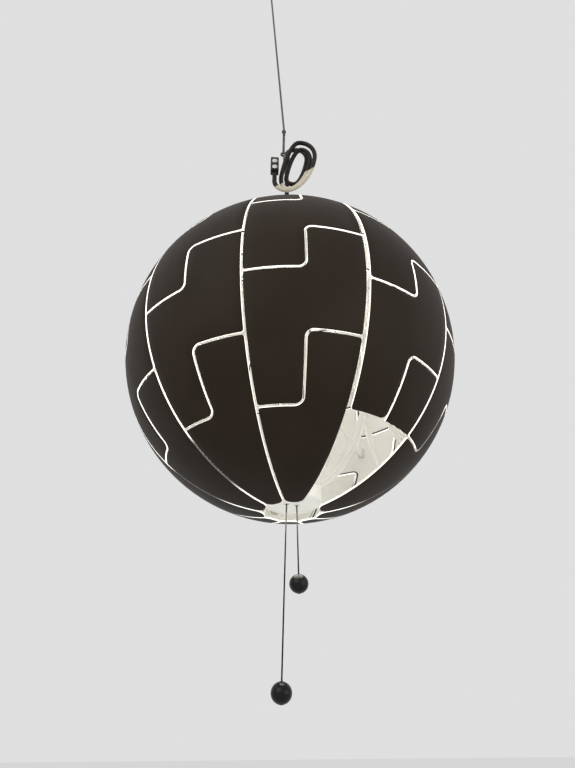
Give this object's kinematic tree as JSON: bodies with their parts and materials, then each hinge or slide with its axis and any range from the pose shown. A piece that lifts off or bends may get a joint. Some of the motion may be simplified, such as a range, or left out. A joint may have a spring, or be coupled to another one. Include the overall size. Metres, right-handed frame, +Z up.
{
  "type": "pendant lamp",
  "caption": "Globe pendant lamp of stepped dark panels on crossed arms that spread when a ball string is pulled, hung on a thin lead with its spare flex coiled.",
  "frame": {"origin": "centre of the ceiling plate's flat top face, where it meets the ceiling", "axes": "+Z is up and out of the ceiling plate's top face; -Y is the side that the picture shows"},
  "size_m": [0.349, 0.3492, 1.2308],
  "materials": {
    "panel_skin": "satin dark brown outside, white inside",
    "white_plastic": "satin off-white",
    "holder_plastic": "smooth white",
    "drum_plastic": "smooth off-white",
    "bulb_glass": "opal, lit",
    "ball_dark": "dark grey lacquer with a soft shine",
    "string_fibre": "thin braided string",
    "flex_plastic": "dark glossy sheath",
    "lead_plastic": "dull grey",
    "hook_metal": "dull dark wire",
    "connector_plastic": "dark block with bright terminals"
  },
  "bodies": {
    "frame": {"ceiling_plate": "lead_plastic", "ceiling_lead": "lead_plastic", "hanging_hook": "hook_metal", "flex_riser": "flex_plastic", "flex_coil": "flex_plastic", "connector": "connector_plastic", "top_housing": "white_plastic", "lampholder": "holder_plastic", "bulb": "bulb_glass", "top_hub": "white_plastic", "lift_line_front": "string_fibre", "lift_line_back": "string_fibre"},
    "lower_hub": {"bottom_hub": "white_plastic", "bottom_cup": "white_plastic"},
    "drum": {"string_drum": "drum_plastic"},
    "opening_pull": {"opening_string": "string_fibre", "opening_ball": "ball_dark"},
    "closing_pull": {"closing_string": "string_fibre", "closing_ball": "ball_dark"},
    "lower_petal_01": {"lower_petal_arm_01": "panel_skin", "upper_panel_01": "panel_skin"},
    "upper_petal_01": {"upper_petal_arm_01": "panel_skin", "lower_panel_01": "panel_skin"},
    "lower_petal_02": {"lower_petal_arm_02": "panel_skin", "upper_panel_02": "panel_skin"},
    "upper_petal_02": {"upper_petal_arm_02": "panel_skin", "lower_panel_02": "panel_skin"},
    "lower_petal_03": {"lower_petal_arm_03": "panel_skin", "upper_panel_03": "panel_skin"},
    "upper_petal_03": {"upper_petal_arm_03": "panel_skin", "lower_panel_03": "panel_skin"},
    "lower_petal_04": {"lower_petal_arm_04": "panel_skin", "upper_panel_04": "panel_skin"},
    "upper_petal_04": {"upper_petal_arm_04": "panel_skin", "lower_panel_04": "panel_skin"},
    "lower_petal_05": {"lower_petal_arm_05": "panel_skin", "upper_panel_05": "panel_skin"},
    "upper_petal_05": {"upper_petal_arm_05": "panel_skin", "lower_panel_05": "panel_skin"},
    "lower_petal_06": {"lower_petal_arm_06": "panel_skin", "upper_panel_06": "panel_skin"},
    "upper_petal_06": {"upper_petal_arm_06": "panel_skin", "lower_panel_06": "panel_skin"},
    "lower_petal_07": {"lower_petal_arm_07": "panel_skin", "upper_panel_07": "panel_skin"},
    "upper_petal_07": {"upper_petal_arm_07": "panel_skin", "lower_panel_07": "panel_skin"},
    "lower_petal_08": {"lower_petal_arm_08": "panel_skin", "upper_panel_08": "panel_skin"},
    "upper_petal_08": {"upper_petal_arm_08": "panel_skin", "lower_panel_08": "panel_skin"},
    "lower_petal_09": {"lower_petal_arm_09": "panel_skin", "upper_panel_09": "panel_skin"},
    "upper_petal_09": {"upper_petal_arm_09": "panel_skin", "lower_panel_09": "panel_skin"},
    "lower_petal_10": {"lower_petal_arm_10": "panel_skin", "upper_panel_10": "panel_skin"},
    "upper_petal_10": {"upper_petal_arm_10": "panel_skin", "lower_panel_10": "panel_skin"}
  },
  "joints": [
    {"name": "hub_slide", "type": "slide", "parent": "frame", "child": "lower_hub", "axis": [0, 0, 1], "range_m": [0, 0.038], "deforming": ["lift_line_front", "lift_line_back"]},
    {"name": "drum_spin", "type": "hinge", "parent": "lower_hub", "child": "drum", "pos_m": [0.0285, 0, -1.0565], "axis": [0.3891, -0.9212, 0], "range_deg": [0, 829.4]},
    {"name": "opening_string_slide", "type": "slide", "parent": "lower_hub", "child": "opening_pull", "axis": [0.0087, 0.0175, -0.9998], "range_m": [0, 0.076]},
    {"name": "closing_string_slide", "type": "slide", "parent": "lower_hub", "child": "closing_pull", "axis": [0.0331, 0.0349, 0.9988], "range_m": [0, 0.076]},
    {"name": "lower_arm_hinge_01", "type": "hinge", "parent": "frame", "child": "lower_petal_01", "pos_m": [0.03055, -0.02391, -0.752], "axis": [-0.9963, -0.0854, 0], "range_deg": [0, 12.82]},
    {"name": "upper_arm_hinge_01", "type": "hinge", "parent": "lower_hub", "child": "upper_petal_01", "pos_m": [0.03055, -0.02391, -1.048], "axis": [0.9963, 0.0854, 0], "range_deg": [0, 12.82]},
    {"name": "lower_arm_hinge_02", "type": "hinge", "parent": "frame", "child": "lower_petal_02", "pos_m": [0.04421, -0.01814, -0.752], "axis": [-0.7559, -0.6547, 0], "range_deg": [0, 12.82]},
    {"name": "upper_arm_hinge_02", "type": "hinge", "parent": "lower_hub", "child": "upper_petal_02", "pos_m": [0.04421, -0.01814, -1.048], "axis": [0.7559, 0.6547, 0], "range_deg": [0, 12.82]},
    {"name": "lower_arm_hinge_03", "type": "hinge", "parent": "frame", "child": "lower_petal_03", "pos_m": [0.05187, -0.00544, -0.752], "axis": [-0.2267, -0.974, 0], "range_deg": [0, 12.82]},
    {"name": "upper_arm_hinge_03", "type": "hinge", "parent": "lower_hub", "child": "upper_petal_03", "pos_m": [0.05187, -0.00544, -1.048], "axis": [0.2267, 0.974, 0], "range_deg": [0, 12.82]},
    {"name": "lower_arm_hinge_04", "type": "hinge", "parent": "frame", "child": "lower_petal_04", "pos_m": [0.05061, 0.00934, -0.752], "axis": [0.3891, -0.9212, 0], "range_deg": [0, 12.82]},
    {"name": "upper_arm_hinge_04", "type": "hinge", "parent": "lower_hub", "child": "upper_petal_04", "pos_m": [0.05061, 0.00934, -1.048], "axis": [-0.3891, 0.9212, 0], "range_deg": [0, 12.82]},
    {"name": "lower_arm_hinge_05", "type": "hinge", "parent": "frame", "child": "lower_petal_05", "pos_m": [0.0409, 0.02055, -0.752], "axis": [0.8563, -0.5165, 0], "range_deg": [0, 12.82]},
    {"name": "upper_arm_hinge_05", "type": "hinge", "parent": "lower_hub", "child": "upper_petal_05", "pos_m": [0.0409, 0.02055, -1.048], "axis": [-0.8563, 0.5165, 0], "range_deg": [0, 12.82]},
    {"name": "lower_arm_hinge_06", "type": "hinge", "parent": "frame", "child": "lower_petal_06", "pos_m": [0.02645, 0.02391, -0.752], "axis": [0.9963, 0.0854, 0], "range_deg": [0, 12.82]},
    {"name": "upper_arm_hinge_06", "type": "hinge", "parent": "lower_hub", "child": "upper_petal_06", "pos_m": [0.02645, 0.02391, -1.048], "axis": [-0.9963, -0.0854, 0], "range_deg": [0, 12.82]},
    {"name": "lower_arm_hinge_07", "type": "hinge", "parent": "frame", "child": "lower_petal_07", "pos_m": [0.01279, 0.01814, -0.752], "axis": [0.7559, 0.6547, 0], "range_deg": [0, 12.82]},
    {"name": "upper_arm_hinge_07", "type": "hinge", "parent": "lower_hub", "child": "upper_petal_07", "pos_m": [0.01279, 0.01814, -1.048], "axis": [-0.7559, -0.6547, 0], "range_deg": [0, 12.82]},
    {"name": "lower_arm_hinge_08", "type": "hinge", "parent": "frame", "child": "lower_petal_08", "pos_m": [0.00513, 0.00544, -0.752], "axis": [0.2267, 0.974, 0], "range_deg": [0, 12.82]},
    {"name": "upper_arm_hinge_08", "type": "hinge", "parent": "lower_hub", "child": "upper_petal_08", "pos_m": [0.00513, 0.00544, -1.048], "axis": [-0.2267, -0.974, 0], "range_deg": [0, 12.82]},
    {"name": "lower_arm_hinge_09", "type": "hinge", "parent": "frame", "child": "lower_petal_09", "pos_m": [0.00639, -0.00934, -0.752], "axis": [-0.3891, 0.9212, 0], "range_deg": [0, 12.82]},
    {"name": "upper_arm_hinge_09", "type": "hinge", "parent": "lower_hub", "child": "upper_petal_09", "pos_m": [0.00639, -0.00934, -1.048], "axis": [0.3891, -0.9212, 0], "range_deg": [0, 12.82]},
    {"name": "lower_arm_hinge_10", "type": "hinge", "parent": "frame", "child": "lower_petal_10", "pos_m": [0.0161, -0.02055, -0.752], "axis": [-0.8563, 0.5165, 0], "range_deg": [0, 12.82]},
    {"name": "upper_arm_hinge_10", "type": "hinge", "parent": "lower_hub", "child": "upper_petal_10", "pos_m": [0.0161, -0.02055, -1.048], "axis": [0.8563, -0.5165, 0], "range_deg": [0, 12.82]}
  ],
  "couplings": [
    {"joint": "drum_spin", "follows": "hub_slide", "rad_per_m": 380.94},
    {"joint": "opening_string_slide", "follows": "hub_slide", "ratio": 2},
    {"joint": "closing_string_slide", "follows": "hub_slide", "ratio": 2},
    {"joint": "lower_arm_hinge_01", "follows": "hub_slide", "rad_per_m": 5.8886},
    {"joint": "upper_arm_hinge_01", "follows": "hub_slide", "rad_per_m": 5.8886},
    {"joint": "lower_arm_hinge_02", "follows": "hub_slide", "rad_per_m": 5.8886},
    {"joint": "upper_arm_hinge_02", "follows": "hub_slide", "rad_per_m": 5.8886},
    {"joint": "lower_arm_hinge_03", "follows": "hub_slide", "rad_per_m": 5.8886},
    {"joint": "upper_arm_hinge_03", "follows": "hub_slide", "rad_per_m": 5.8886},
    {"joint": "lower_arm_hinge_04", "follows": "hub_slide", "rad_per_m": 5.8886},
    {"joint": "upper_arm_hinge_04", "follows": "hub_slide", "rad_per_m": 5.8886},
    {"joint": "lower_arm_hinge_05", "follows": "hub_slide", "rad_per_m": 5.8886},
    {"joint": "upper_arm_hinge_05", "follows": "hub_slide", "rad_per_m": 5.8886},
    {"joint": "lower_arm_hinge_06", "follows": "hub_slide", "rad_per_m": 5.8886},
    {"joint": "upper_arm_hinge_06", "follows": "hub_slide", "rad_per_m": 5.8886},
    {"joint": "lower_arm_hinge_07", "follows": "hub_slide", "rad_per_m": 5.8886},
    {"joint": "upper_arm_hinge_07", "follows": "hub_slide", "rad_per_m": 5.8886},
    {"joint": "lower_arm_hinge_08", "follows": "hub_slide", "rad_per_m": 5.8886},
    {"joint": "upper_arm_hinge_08", "follows": "hub_slide", "rad_per_m": 5.8886},
    {"joint": "lower_arm_hinge_09", "follows": "hub_slide", "rad_per_m": 5.8886},
    {"joint": "upper_arm_hinge_09", "follows": "hub_slide", "rad_per_m": 5.8886},
    {"joint": "lower_arm_hinge_10", "follows": "hub_slide", "rad_per_m": 5.8886},
    {"joint": "upper_arm_hinge_10", "follows": "hub_slide", "rad_per_m": 5.8886}
  ]
}
